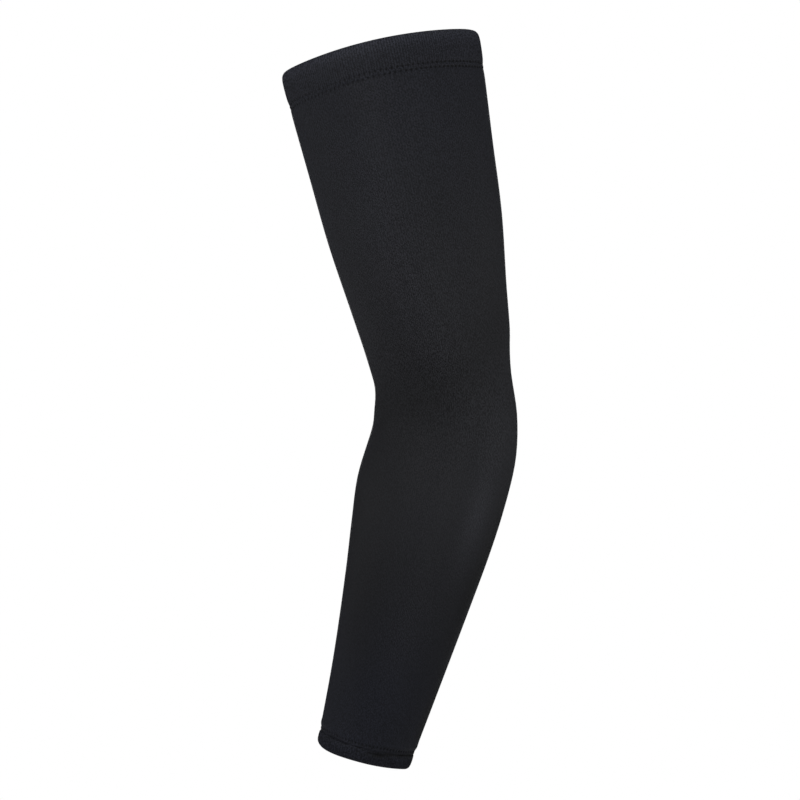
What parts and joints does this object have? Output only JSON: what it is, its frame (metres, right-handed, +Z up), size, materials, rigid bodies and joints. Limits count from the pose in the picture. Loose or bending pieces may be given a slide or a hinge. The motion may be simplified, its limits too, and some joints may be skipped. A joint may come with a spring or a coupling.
{
  "type": "compression arm sleeve",
  "caption": "Knitted compression sleeve for the arm: an open tapered tube from the biceps to the wrist, bent at the elbow, with a turned and stitched hem at each end",
  "frame": {"origin": "the middle of the upper opening, at the rim, where the sleeve sits on the upper arm", "axes": "+Z up along the standing arm, +X from the crook of the elbow towards the elbow's point, +Y to the arm's far side"},
  "size_m": [0.1292, 0.0958, 0.4053],
  "materials": {
    "body_knit": "matte black fine-ribbed stretch knit",
    "hem_knit": "matte black doubled knit with black sewing thread"
  },
  "bodies": {
    "root": {"sleeve_body": "body_knit", "upper_hem": "hem_knit", "wrist_hem": "hem_knit"}
  },
  "joints": []
}
